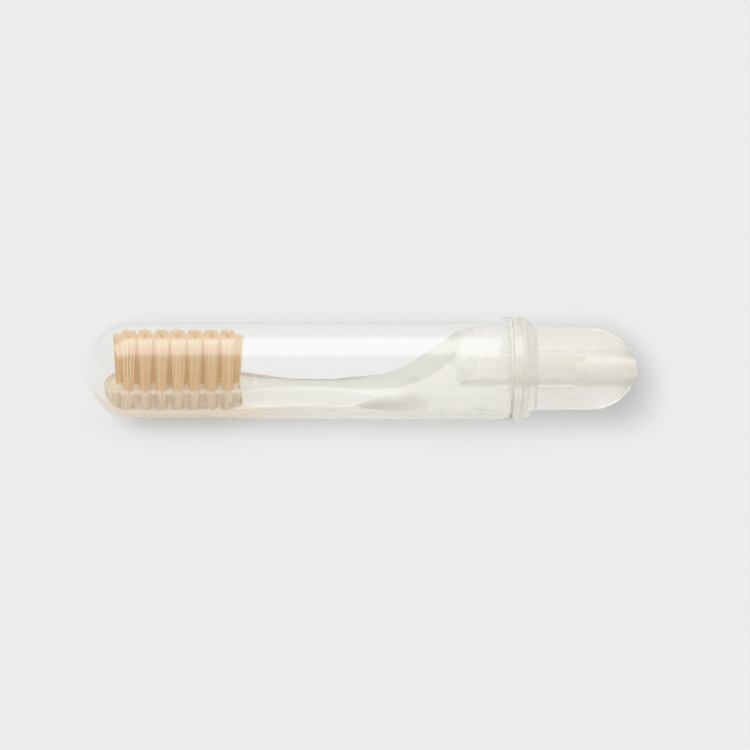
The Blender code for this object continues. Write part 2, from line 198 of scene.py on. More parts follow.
def smooth(t):
    t = np.clip(t, 0, 1)
    return t * t * (3 - 2 * t)


# ------------------------------------------------------------ node helpers
class Nodes:
    """Adds nodes to one tree. Given an output kind, it empties the tree first."""

    def __init__(self, tree, output=None):
        self.tree = tree
        if output:
            tree.nodes.clear()
            self.output = self.add(output)

    def link(self, source, target):
        self.tree.links.new(source, target)

    def add(self, kind, inputs=None, **settings):
        """A node. An input given a socket is linked; colours are given as r, g, b."""
        node = self.tree.nodes.new(f"ShaderNode{kind}")
        for key, value in settings.items():
            setattr(node, key, value)
        for key, value in (inputs or {}).items():
            socket = node.inputs[key]
            if isinstance(value, bpy.types.NodeSocket):
                self.link(value, socket)
            elif socket.type == "RGBA":
                socket.default_value = (*value, 1)
            else:
                socket.default_value = value
        return node

    def shader(self, kind, inputs):
        """The shader output of a surface node."""
        return self.add(kind, inputs).outputs[0]

    def finish(self, surface):
        self.link(surface, self.output.inputs["Surface"])

    def object_coords(self):
        return self.add("TexCoord").outputs["Object"]

    def split(self, vector):
        """The X, Y and Z outputs of a vector."""
        return self.add("SeparateXYZ", {"Vector": vector}).outputs

    def attribute(self, name):
        return self.add("Attribute", attribute_name=name).outputs["Fac"]

    def calc(self, operation, *values):
        return self.add("Math", dict(enumerate(values)), operation=operation).outputs[0]

    def vector_calc(self, operation, *values):
        node = self.add("VectorMath", dict(enumerate(values)), operation=operation)
        return node.outputs["Value"]

    def remap(self, value, from_min=0.0, from_max=1.0, to_min=0.0, to_max=1.0, kind="LINEAR"):
        node = self.add("MapRange", {"Value": value, "From Min": from_min, "From Max": from_max,
                                     "To Min": to_min, "To Max": to_max}, interpolation_type=kind)
        return node.outputs["Result"]

    def ease(self, value, start, end, to_min=0.0, to_max=1.0):
        """Smoothly from to_min at start to to_max at end."""
        return self.remap(value, start, end, to_min, to_max, kind="SMOOTHSTEP")

    def band(self, value, span, to_min=0.0, to_max=1.0):
        """The same for a place, with the (start, end) span in millimetres."""
        return self.ease(value, span[0] * MM, span[1] * MM, to_min, to_max)

    def noise(self, vector, scale, detail=2.0):
        node = self.add("TexNoise", {"Scale": scale, "Detail": detail, "Vector": vector})
        return node.outputs["Fac"]

    def stretched_noise(self, vector, scale, detail=2.0):
        """Noise with its own scale along each axis."""
        mapping = self.add("Mapping", {"Scale": scale, "Vector": vector})
        return self.noise(mapping.outputs["Vector"], scale=1.0, detail=detail)

    def bump(self, height, distance, strength=1.0):
        """A bumped normal, with the distance in millimetres."""
        node = self.add("Bump", {"Strength": strength, "Distance": distance * MM,
                                 "Height": height})
        return node.outputs["Normal"]

    def mix_colour(self, factor, a, b):
        node = self.add("Mix", data_type="RGBA", inputs={"Factor": factor, "A": a, "B": b})
        return node.outputs["Result"]

    def mix_shader(self, factor, a, b):
        return self.shader("MixShader", {0: factor, 1: a, 2: b})


def new_material(name):
    material = bpy.data.materials.new(name)
    material.use_nodes = True
    return material, Nodes(material.node_tree, "OutputMaterial")


def set_ramp(ramp, stops):
    """Places (position, r, g, b) stops on a new colour ramp."""
    elements = ramp.elements
    for element, (position, *colour) in ((elements[0], stops[0]), (elements[1], stops[-1])):
        element.position = position
        element.color = (*colour, 1)
    for position, *colour in stops[1:-1]:
        elements.new(position).color = (*colour, 1)


# ------------------------------------------------------------ clear plastic
def drifting_tint(nodes, coords, tint):
    """Slow drift of tint through the moulding."""
    return nodes.mix_colour(nodes.noise(coords, scale=60.0),
                            [min(1.0, c * 1.006) for c in tint], [c * 0.994 for c in tint])


def marked_roughness(nodes, coords, rough, haze):
    """Faint hairlines along the brush that dull the gloss by up to haze."""
    marks = nodes.stretched_noise(coords, scale=(300.0, 2600.0, 2600.0), detail=3.0)
    return nodes.remap(marks, from_min=0.35, from_max=0.75, to_min=rough, to_max=rough + haze)


def clear_resin(nodes, coords, colour, roughness, wave, specular=0.5):
    """Refracting plastic, its surface wavy by wave millimetres."""
    return nodes.shader("BsdfPrincipled", {
        "IOR": 1.49, "Transmission Weight": 1.0, "Specular IOR Level": specular,
        "Base Color": colour, "Roughness": roughness,
        "Normal": nodes.bump(nodes.noise(coords, scale=170.0, detail=1.0), distance=wave)})


def clouded(nodes, surface, share, colour):
    """Adds a share of matt cloudiness to a surface."""
    return nodes.mix_shader(share, surface, nodes.shader("BsdfDiffuse", {"Color": colour}))


def finish_clear(nodes, surface, lamp_tint):
    """Lamps reach what is inside the plastic through a tinted straight path,
    which a path tracer can't find through bending surfaces."""
    ray = nodes.add("LightPath").outputs
    straight = nodes.calc("MAXIMUM", ray["Is Shadow Ray"], ray["Is Diffuse Ray"])
    through = nodes.shader("BsdfTransparent", {"Color": lamp_tint})
    nodes.finish(nodes.mix_shader(straight, surface, through))


def cap_material(name):
    material, nodes = new_material(name)
    coords = nodes.object_coords()
    surface = clear_resin(nodes, coords, wave=0.0006,
                          colour=drifting_tint(nodes, coords, tint=(0.986, 0.988, 0.982)),
                          roughness=marked_roughness(nodes, coords, rough=0.0, haze=0.02))
    # the cut edge of the mouth is a little matt
    rim = nodes.band(nodes.split(coords)["X"], (CAP_MOUTH_X - 0.75, CAP_MOUTH_X - 0.15),
                     to_max=0.55)
    surface = clouded(nodes, surface, rim, colour=(0.635, 0.615, 0.545))
    finish_clear(nodes, surface, lamp_tint=(0.97, 0.97, 0.965))
    return material


def stopper_material(name):
    material, nodes = new_material(name)
    coords = nodes.object_coords()
    surface = clear_resin(nodes, coords, wave=0.003,
                          colour=drifting_tint(nodes, coords, tint=(0.975, 0.945, 0.935)),
                          roughness=marked_roughness(nodes, coords, rough=0.08, haze=0.05))
    # partly cloudy plastic, partly a painted highlight: the pale share makes the stopper lighter
    # than the grip around it
    surface = clouded(nodes, surface, share=0.28, colour=(0.98, 0.93, 0.89))
    finish_clear(nodes, surface, lamp_tint=(0.96, 0.945, 0.93))
    return material


def saddle_painted_shade_mask(nodes, place):
    """Where the flat upper face of the neck and the hollow behind it lie, which get a painted
    shade.
    """
    geometry = nodes.add("NewGeometry").outputs
    normal = nodes.add("VectorTransform", {"Vector": geometry["True Normal"]},
                       vector_type="NORMAL", convert_from="WORLD", convert_to="OBJECT")
    tilt = nodes.calc("ABSOLUTE", nodes.split(normal.outputs["Vector"])["Y"])
    factor = nodes.calc("MULTIPLY",
                        nodes.ease(tilt, 0.36, 0.20),                     # no sideways tilt
                        nodes.calc("SUBTRACT", 1.0, geometry["Backfacing"]))  # light goes in
    for limit in (nodes.band(place["Z"], (-5.2, -3.6)),                   # not the underside
                  nodes.band(place["X"], (-68.0, -54.0), to_min=0.75),    # fuller in the hollow
                  nodes.band(place["X"], (-34.6, -37.4)),                 # not the round part
                  nodes.band(place["X"], (-82.0, -77.0))):                # not the head
        factor = nodes.calc("MULTIPLY", factor, limit)
    return factor


def cloud_share(nodes, coords, place, head, tail):
    """How cloudy the handle looks along its length."""
    share = nodes.remap(head, to_min=0.15, to_max=0.30)
    share = nodes.calc("MULTIPLY_ADD", tail, 0.11, share)
    # the collar is thick and rounded, and looks cloudier than the tubes
    collar_start = nodes.band(place["X"], (-26.0, -25.3), to_max=0.09)
    collar_end = nodes.band(place["X"], (-20.4, -22.2))
    share = nodes.calc("MULTIPLY_ADD", collar_start, collar_end, share)
    # the round ejector mark is left matt by the pin
    from_mark = nodes.vector_calc("DISTANCE", coords, (MARK_X * MM, 0.0, (FACE_Z - 0.15) * MM))
    return nodes.calc("ADD", share, nodes.band(from_mark, (0.95, 0.70), to_max=0.46))


def handle_material(name):
    material, nodes = new_material(name)
    coords = nodes.object_coords()
    place = nodes.split(coords)
    head = nodes.band(place["X"], (-73.0, -84.0))
    tail = nodes.band(place["X"], (-26.6, -25.2))        # the grip outside the cap

    # painted bounce light: the head is tinted the bristles' colour, standing in for the light they
    # throw into the plastic around them
    colour = drifting_tint(nodes, coords, tint=(0.982, 0.970, 0.944))
    colour = nodes.mix_colour(head, colour, (0.970, 0.940, 0.900))
    # painted shade: the saddle is tinted darker, standing in for the shaded floor seen through it,
    # which lets less light back up
    colour = nodes.mix_colour(saddle_painted_shade_mask(nodes, place), colour, (0.64, 0.65, 0.58))

    # the grip is handled and matt
    roughness = nodes.add("Mix", {
        "Factor": tail, "A": marked_roughness(nodes, coords, rough=0.14, haze=0.05),
        "B": 0.24}).outputs["Result"]
    surface = clear_resin(nodes, coords, colour, roughness, wave=0.002, specular=0.22)

    # painted bounce light: the cloudy share in the head is peach for the same reason
    cloud = nodes.mix_colour(head, (0.79, 0.765, 0.69), (0.80, 0.70, 0.58))
    cloud = nodes.mix_colour(nodes.band(place["X"], (-30.0, -24.4)), cloud, (0.635, 0.613, 0.540))
    surface = clouded(nodes, surface, cloud_share(nodes, coords, place, head, tail), cloud)
    lamp_tint = nodes.mix_colour(head, (0.905, 0.905, 0.895), (0.97, 0.95, 0.92))
    finish_clear(nodes, surface, lamp_tint)
    return material


# ------------------------------------------------------------ bristle and brass
def bristle_material(name):
    """Natural bristle: every strand has its own shade, paler at the trimmed end."""
    material, nodes = new_material(name)
    shade = nodes.add("ValToRGB", {"Fac": nodes.attribute("strand")})
    set_ramp(shade.color_ramp, [(0.0, 0.70, 0.53, 0.32), (0.35, 0.78, 0.64, 0.43),
                                (0.75, 0.82, 0.71, 0.51), (1.0, 0.87, 0.77, 0.60)])
    # slight mottling along each strand
    mottle = nodes.noise(nodes.object_coords(), scale=900.0, detail=3.0)
    mottled = nodes.add("HueSaturation", {"Value": nodes.remap(mottle, to_min=0.90, to_max=1.04),
                                          "Color": shade.outputs["Color"]}).outputs["Color"]
    tip = nodes.remap(nodes.attribute("along"), from_min=0.62, to_max=0.75)
    colour = nodes.mix_colour(tip, mottled, (0.75, 0.655, 0.53))
    surface = nodes.mix_shader(
        0.45,
        nodes.shader("BsdfPrincipled", {"Base Color": colour, "Roughness": 0.42,
                                        "Specular IOR Level": 0.45}),
        nodes.shader("BsdfTranslucent", {"Color": colour}))
    # painted glow: a small emission stands in for light scattered many times inside the bundle,
    # which comes back warm
    painted_glow = nodes.shader("Emission", {"Color": (0.98, 0.70, 0.30), "Strength": BRISTLE_PAINTED_GLOW})
    nodes.finish(nodes.shader("AddShader", {0: surface, 1: painted_glow}))
    return material


def brass_material(name):
    """Rolled brass strip: fine draw lines and a little tarnish."""
    material, nodes = new_material(name)
    coords = nodes.object_coords()
    tarnish = nodes.noise(coords, scale=700.0, detail=4.0)
    lines = nodes.stretched_noise(coords, scale=(900, 900, 9000))
    nodes.finish(nodes.shader("BsdfPrincipled", {
        "Metallic": 1.0,
        "Base Color": nodes.mix_colour(tarnish, (0.92, 0.70, 0.25), (0.72, 0.48, 0.12)),
        "Roughness": nodes.remap(lines, to_min=0.22, to_max=0.45),
        "Normal": nodes.bump(lines, distance=0.01, strength=0.6)}))
    return material


MAT_CAP = cap_material("cap_clear_polished")
MAT_HANDLE = handle_material("handle_clear_soft")
MAT_STOPPER = stopper_material("stopper_clear")
MAT_BRISTLE = bristle_material("natural_bristle")
MAT_BRASS = brass_material("anchor_brass_strip")


# ------------------------------------------------------------ cap
def build_cap():
    pole_gap = 88.2                      # degrees round the dome to the last ring
    rim_x = CAP_MOUTH_X - CAP_RIM_R

    def dome(radius, degrees):
        return [(CAP_DOME_X - radius * math.sin(math.radians(a)),
                 radius * math.cos(math.radians(a))) for a in degrees]

    def wall(dome_r, mouth_r, fractions):
        return [(CAP_DOME_X + f * (rim_x - CAP_DOME_X), dome_r + f * (mouth_r - dome_r))
                for f in fractions]

    profile = dome(CAP_OUTER_R_DOME, np.linspace(pole_gap, 0, 56))
    profile += wall(CAP_OUTER_R_DOME, CAP_OUTER_R_MOUTH, np.linspace(0, 1, 26)[1:-1])
    profile += arc(rim_x, CAP_OUTER_R_MOUTH - CAP_RIM_R, CAP_RIM_R, 90, 0, 7)
    profile += arc(rim_x, CAP_INNER_R_MOUTH + CAP_RIM_R, CAP_RIM_R, 0, -90, 7)
    profile += wall(CAP_INNER_R_DOME, CAP_INNER_R_MOUTH, np.linspace(1, 0, 26)[1:])
    profile += dome(CAP_INNER_R_DOME, np.linspace(0, pole_gap, 50)[1:])
    return revolve("clear_cap", profile, CAP_DOME_X - CAP_OUTER_R_DOME,
                   CAP_DOME_X - CAP_INNER_R_DOME, MAT_CAP)


# ------------------------------------------------------------ handle
# x, half width of the oval, height of the flat top, underside, oval centre
# height, oval exponent
STATIONS = np.array([
    (-101.5, 5.20, -2.84, -8.40, -4.00, 2.7),
    (-96.0, 5.20, -2.84, -8.40, -4.00, 2.7),
    (-88.0, 5.20, -2.84, -8.40, -4.00, 2.7),
    (-83.0, 5.12, -2.84, -8.40, -4.00, 2.7),
    (-79.5, 4.80, -2.84, -8.40, -4.20, 2.6),
    (-76.5, 4.10, -2.84, -8.40, -4.60, 2.45),
    (-73.5, 3.40, -2.86, -8.40, -4.90, 2.3),
    (-70.5, 2.98, -2.92, -8.40, -5.10, 2.2),
    (-67.5, 2.84, -2.98, -8.40, -5.20, 2.2),
    (-61.5, 2.90, -3.06, -8.40, -5.20, 2.2),
    (-57.5, 3.60, -3.02, -8.41, -5.20, 2.25),
    (-52.9, 4.60, -2.66, -8.45, -5.35, 2.4),
    (-50.0, 5.20, -2.18, -8.45, -5.10, 2.35),
    (-47.9, 5.80, -1.66, -8.45, -4.70, 2.2),
    (-44.5, 6.90, -0.10, -8.45, -3.60, 2.0),
    (-41.5, 7.70, 1.90, -8.45, -2.20, 2.0),
    (-38.3, 8.20, 4.75, -8.45, -0.90, 2.0),
    (-36.3, 8.38, 6.95, -8.45, -0.20, 2.0),
    (-35.0, 8.45, 8.35, -8.45, 0.0, 2.0),
    (-33.6, 8.45, 10.20, -8.45, 0.0, 2.0),
    (-32.4, 8.45, 14.0, -8.45, 0.0, 2.0),
])

# bands of four ribs: first x, last x, height, radius of the surface they stand on
RIBS = [(-29.05, -24.9, 0.08, GRIP_R), (-21.2, -13.0, 0.07, 8.38)]

# the collar's round bead and its run down to the tail: x, radius
BEAD = [
    (-24.40, 10.26), (-24.2, 10.36), (-23.95, 10.475), (-23.70, 10.528), (-23.45, 10.54),
    (-23.2, 10.515), (-22.95, 10.445), (-22.70, 10.33), (-22.45, 10.175), (-22.2, 9.98),
    (-21.95, 9.745), (-21.7, 9.47), (-21.45, 9.175), (-21.22, 8.90), (-21.02, 8.69),
    (-20.85, 8.55), (-20.68, 8.46), (-20.5, 8.425),
]

# the core's slanted blind end, slightly dished with a soft corner:
# inset from the core's radius, distance back towards the mouth
CORE_END = [(0.0, 1.2), (0.0, 0.55), (0.06, 0.28), (0.18, 0.12), (0.36, 0.03),
            (0.62, 0.0), (1.1, 0.10), (1.6, 0.22), (2.1, 0.30)]
CORE_END_X, CORE_END_SLOPE = -34.0, 0.84


def station_value(x, column):
    """Monotone cubic through one column of the station table."""
    xs, ys = STATIONS[:, 0], STATIONS[:, column]
    if x <= xs[0]:
        return float(ys[0])
    if x >= xs[-1]:
        return float(ys[-1])
    slopes = np.diff(ys) / np.diff(xs)

    def tangent(i):
        if i == 0:
            return slopes[0]
        if i == len(xs) - 1:
            return slopes[-1]
        before, after = slopes[i - 1], slopes[i]
        if before * after <= 0:
            return 0.0
        gap_before, gap_after = xs[i] - xs[i - 1], xs[i + 1] - xs[i]
        weight_before = 2 * gap_after + gap_before
        weight_after = gap_after + 2 * gap_before
        return (weight_before + weight_after) / (weight_before / before + weight_after / after)

    k = int(np.searchsorted(xs, x, side="right")) - 1
    gap = xs[k + 1] - xs[k]
    t = (x - xs[k]) / gap
    m0, m1 = tangent(k) * gap, tangent(k + 1) * gap
    return float((2 * t**3 - 3 * t**2 + 1) * ys[k] + (t**3 - 2 * t**2 + t) * m0
                 + (-2 * t**3 + 3 * t**2) * ys[k + 1] + (t**3 - t**2) * m1)


def oval_ring(x, half_width, top, back, centre, power, crispness=20.0):
    """An oval cut off by a flat top with a rounded edge. The points are shared
    out half by arc length and half by how much the outline turns."""
    middle = 0.5 * (min(top, 2 * centre - back) + back)
    rise = centre - back
    dense = 1400
    angle = math.pi * np.arange(dense + 1) / dense
    dir_y, dir_z = np.sin(angle), np.cos(angle)
    # distance from the middle to the oval, by bisection
    near, far = np.zeros(dense + 1), np.full(dense + 1, 40.0)
    for _ in range(44):
        reach = 0.5 * (near + far)
        inside = (np.abs(reach * dir_y / half_width) ** power
                  + np.abs((middle + reach * dir_z - centre) / rise) ** power) < 1
        near, far = np.where(inside, reach, near), np.where(inside, far, reach)
    reach = near
    # blend into the flat top
    upward = dir_z > 1e-9
    cut = np.where(upward, (top - middle) / np.where(upward, dir_z, 1), 1e9)
    reach = reach * np.where(upward, (1 + (reach / cut) ** crispness) ** (-1.0 / crispness), 1.0)
    y, z = reach * dir_y, middle + reach * dir_z

    length = np.concatenate([[0], np.cumsum(np.hypot(np.diff(y), np.diff(z)))])
    heading = np.unwrap(np.arctan2(np.diff(z), np.diff(y)))
    turn = np.concatenate([[0], np.cumsum(np.abs(np.diff(heading))), [0]])
    turn[-1] = turn[-2]
    measure = 0.5 * length / length[-1] + 0.5 * turn / turn[-1]
    half = SEG // 2
    wanted = (np.arange(half) + 0.5) / half
    half_y, half_z = np.interp(wanted, measure, y), np.interp(wanted, measure, z)
    return np.stack([np.full(SEG, float(x)), np.concatenate([half_y, -half_y[::-1]]),
                     np.concatenate([half_z, half_z[::-1]])], 1)


def rib_bump(x):
    """Extra radius round the ring at x from the grip ribs."""
    from_rib = np.abs((ring_angles(SEG) + math.pi / 4) % (math.pi / 2) - math.pi / 4)
    bump = np.zeros(SEG)
    for start_x, end_x, height, radius in RIBS:
        along = smooth((x - start_x) / 0.7) * smooth((end_x - x) / 0.7)
        bump += height * along * smooth((0.62 - from_rib * radius) / 0.42)
    return bump


def round_profile():
    """The round part of the handle as (x, r), from the barrel to the tail's dome."""
    collar_x = CAP_MOUTH_X + 0.06
    fillet_r, lip_r, lip_centre_r = 0.22, 0.28, 9.94
    profile = [(-31.2 + 2.0 * f, BARREL_R + (GRIP_R - BARREL_R) * float(smooth(f)))
               for f in np.linspace(0, 1, 13)]
    profile += [(x, GRIP_R) for x in np.arange(-29.06, collar_x - 0.3, 0.14)]
    profile += [(collar_x - fillet_r, GRIP_R)]
    profile += arc(collar_x - fillet_r, GRIP_R + fillet_r, fillet_r, -90, 0, 5)[1:]
    profile += [(collar_x, 9.2), (collar_x, 9.6), (collar_x, lip_centre_r)]
    profile += arc(collar_x + lip_r, lip_centre_r, lip_r, 180, 96, 6)
    # shallow groove between the lip and the bead
    profile += [(collar_x + 0.50, 10.225), (collar_x + 0.70, 10.225), (collar_x + 0.86, 10.235)]
    profile += BEAD
    taper = TAIL_START_R - TAIL_DOME_R
    length = TAIL_DOME_X - TAIL_START_X
    profile += [(x, TAIL_START_R - taper * (x - TAIL_START_X) / length)
                for x in np.arange(-20.3, -9.2, 0.14)]
    return profile


def build_handle():
    loft = Loft(SEG)
    # rounded nose of the head
    head_x, half_width, top, back, centre, power = STATIONS[0]
    for angle in np.radians(np.linspace(86.5, 3, 34)):
        x = HEAD_TIP_X + NOSE_LENGTH - NOSE_LENGTH * math.sin(angle)
        size = math.cos(angle)
        loft.ring(oval_ring(x, half_width * size, centre + (top - centre) * size ** 0.35,
                            centre - (centre - back) * size ** 0.9, centre, power))
    # head, neck and hollow; the edge of the flat top softens along the neck
    for x in (*np.arange(head_x, -83.2, 1.5), *np.arange(-83.0, -33.0, 0.42),
              *np.arange(-33.0, -31.4, 0.4)):
        crispness = 20.0 - 13.0 * float(smooth((x + 80.0) / 12.0))
        loft.ring(oval_ring(x, *[station_value(x, c) for c in range(1, 6)], crispness))
    for x, radius in round_profile():
        loft.ring(circle_ring(x, radius + rib_bump(x)))
    # tail dome, as far as the core's mouth
    for angle in np.linspace(0, math.pi / 2 - CORE_MOUTH_ANGLE, 44):
        loft.ring(circle_ring(TAIL_DOME_X + TAIL_DOME_LENGTH * math.sin(angle),
                              TAIL_DOME_R * math.cos(angle)))
    # core, from its mouth to its blind end
    for x in (CORE_MOUTH_X - 0.12, *np.linspace(CORE_MOUTH_X - 0.4, -24.0, 24)):
        loft.ring(circle_ring(x, CORE_R))
    for inset, setback in CORE_END:
        ring = circle_ring(0, CORE_R - inset)
        ring[:, 0] = CORE_END_X + CORE_END_SLOPE * ring[:, 2] + setback
        loft.ring(ring)
    loft.pole((CORE_END_X + 0.34, 0, 0))
    loft.pole((HEAD_TIP_X, 0, centre), first=True)
    return loft.object("brush_body", MAT_HANDLE)


# ------------------------------------------------------------ tuft holes
# row: number of tufts, and how its bristles lean across the head (+1 is towards +Y)
ROWS = {"front": (7, 1.0), "middle": (8, 0.0), "rear": (7, -1.0)}

# outlines of the cutters from the bottom up: z, radius
HOLE_LEVELS = [
    (HOLE_Z, 0.80), (HOLE_Z + 0.10, 0.92), (HOLE_Z + 0.26, 0.97),
    (FACE_Z - 0.16, 0.97), (FACE_Z - 0.02, 1.03), (FACE_Z + 0.8, 1.12),
]
MARK_LEVELS = [
    (FACE_Z - 0.06, 0.22), (FACE_Z - 0.12, 0.46), (FACE_Z - 0.22, 0.68), (FACE_Z - 0.32, 0.84),
    (FACE_Z - 0.36, 0.92), (FACE_Z - 0.30, 0.98), (FACE_Z - 0.04, 1.0), (FACE_Z + 0.02, 1.02),
    (FACE_Z + 0.8, 1.05),
]


def tuft_sites():
    """Row, number, x and y of each anchor's centre, and the top of its tuft."""
    for row, (count, _) in ROWS.items():
        for i in range(1, count + 1):
            anchor_lo, anchor_hi = box_mm(f"anchor_{row}_{i}")
            tuft_top = box_mm(f"tuft_{row}_{i}")[1][2]
            yield (row, i, 0.5 * (anchor_lo[0] + anchor_hi[0]),
                   0.5 * (anchor_lo[1] + anchor_hi[1]), tuft_top)


def add_plug(verts, faces, x, y, levels, bottom_z):
    """Adds a closed upright plug to the cutter."""
    count = 40
    base = len(verts)
    angle = ring_angles(count)
    for z, radius in levels:
        verts += [(x + radius * c, y + radius * s, z) for c, s in zip(np.cos(angle), np.sin(angle))]
    for k in range(len(levels) - 1):
        faces += ring_faces(base + k * count, base + (k + 1) * count, count)
    bottom = len(verts)
    verts += [(x, y, bottom_z), (x, y, levels[-1][0])]
    faces += fan_faces(base, bottom, count, reverse=True)
    faces += fan_faces(base + (len(levels) - 1) * count, bottom + 1, count)


def cut_holes(body):
    """Cuts the tuft holes, with slightly cone-shaped floors, and the ejector mark."""
    verts, faces = [], []
    for _, _, x, y, _ in tuft_sites():
        add_plug(verts, faces, x, y, HOLE_LEVELS, bottom_z=HOLE_Z - 0.06)
    add_plug(verts, faces, MARK_X, 0.0, MARK_LEVELS, bottom_z=FACE_Z - 0.04)
    cutter = make_object("hole_cutter", verts, faces)
    fix_normals(cutter)
    boolean = body.modifiers.new("holes", "BOOLEAN")
    boolean.operation = "DIFFERENCE"
    boolean.object = cutter

    def cut_with(solver):
        boolean.solver = solver
        depsgraph = bpy.context.evaluated_depsgraph_get()
        return bpy.data.meshes.new_from_object(body.evaluated_get(depsgraph))

    mesh = cut_with("MANIFOLD")
    # the fast solver refuses a body it doesn't find closed, and then adds no vertices
    if len(mesh.vertices) <= len(body.data.vertices):
        mesh = cut_with("EXACT")
    body.modifiers.clear()
    body.data = mesh
    bpy.data.objects.remove(cutter)
    mesh.shade_smooth()
    mesh.set_sharp_from_angle(angle=math.radians(32))


# ------------------------------------------------------------ tufts
ANCHOR_TURN = math.radians(-35)
PAIRS = 40                               # strands folded over each anchor
BUNDLE_R = 0.92                          # bundle radius in the hole
TIP_RX, TIP_RY = 1.38, 1.12              # and at the trimmed tips
TUFT_LEAN = 1.05                         # sideways lean of the outer rows at the tips
CLEAR_R = 8.36                           # strands stay within this radius of the X axis
ANCHOR_GAP = 0.245                       # least distance of a strand from the anchor's middle
LEG_SPREAD = 0.575                       # and the spread beyond it
LEG_FRACTIONS = np.array([1.0, 0.86, 0.66, 0.45, 0.22, 0.0])    # tip down to the face
# below the face: z, how far the strand has parted round the anchor
LEG_BELOW = [(-4.3, 0.0), (-5.1, 0.8), (-5.7, 1.0), (-6.42, 1.0)]
TURN_Z, TURN_STEPS = -6.46, 6            # the fold under the anchor


def tube_mesh(path, radius, sides, strand, along):
    """Tubes along many paths at once. path is (tubes, steps, 3); radius and
    along are (tubes, steps). Also returns strand and along for every vertex."""
    tubes, steps, _ = path.shape
    tangent = np.empty_like(path)
    tangent[:, 1:-1] = path[:, 2:] - path[:, :-2]
    tangent[:, 0] = path[:, 1] - path[:, 0]
    tangent[:, -1] = path[:, -1] - path[:, -2]
    tangent /= np.linalg.norm(tangent, axis=2, keepdims=True)
    # carry one normal along each path so the tube doesn't twist
    reference = np.tile(np.array([1.0, 0.2, 0.0]), (tubes, 1))
    normal = np.empty_like(path)
    for k in range(steps):
        across = reference - (reference * tangent[:, k]).sum(1, keepdims=True) * tangent[:, k]
        normal[:, k] = across / np.linalg.norm(across, axis=1, keepdims=True)
        reference = normal[:, k]
    binormal = np.cross(tangent, normal)
    angle = 2 * math.pi * np.arange(sides) / sides
    cos, sin = np.cos(angle)[None, None, :, None], np.sin(angle)[None, None, :, None]
    ring = (path[:, :, None] + radius[:, :, None, None]
            * (normal[:, :, None] * cos + binormal[:, :, None] * sin))
    start_tips = path[:, 0] - tangent[:, 0] * radius[:, :1] * 0.55
    end_tips = path[:, -1] + tangent[:, -1] * radius[:, -1:] * 0.55
    verts = np.concatenate([ring.reshape(-1, 3), start_tips, end_tips])
    faces = []
    first_tip = tubes * steps * sides
    for tube in range(tubes):
        base = tube * steps * sides
        end = base + (steps - 1) * sides
        for start in range(base, end, sides):
            faces += ring_faces(start, start + sides, sides)
        faces += fan_faces(base, first_tip + tube, sides, reverse=True)
        faces += fan_faces(end, first_tip + tubes + tube, sides)
    strand_values = np.concatenate([np.repeat(strand, steps * sides), strand, strand])
    along_values = np.concatenate([np.repeat(along.reshape(-1), sides), along[:, 0], along[:, -1]])
    return verts, faces, strand_values, along_values


def half_disc(rng):
    """An even, slightly shaken spread over half a unit disc, on one side of the anchor."""
    total = PAIRS * 2
    golden = math.pi * (3 - math.sqrt(5))
    phase = rng.uniform(0, 2 * math.pi)
    points = []
    for k in range(total):
        radius = math.sqrt((k + 0.5) / total)
        angle = k * golden + phase
        points.append((radius * math.cos(angle), radius * math.sin(angle)))
    points = np.array([point for point in points if point[1] > 0][:PAIRS])
    points = points + rng.normal(0, 0.025, points.shape)
    return points / np.maximum(1.0, np.hypot(points[:, 0], points[:, 1]))[:, None]


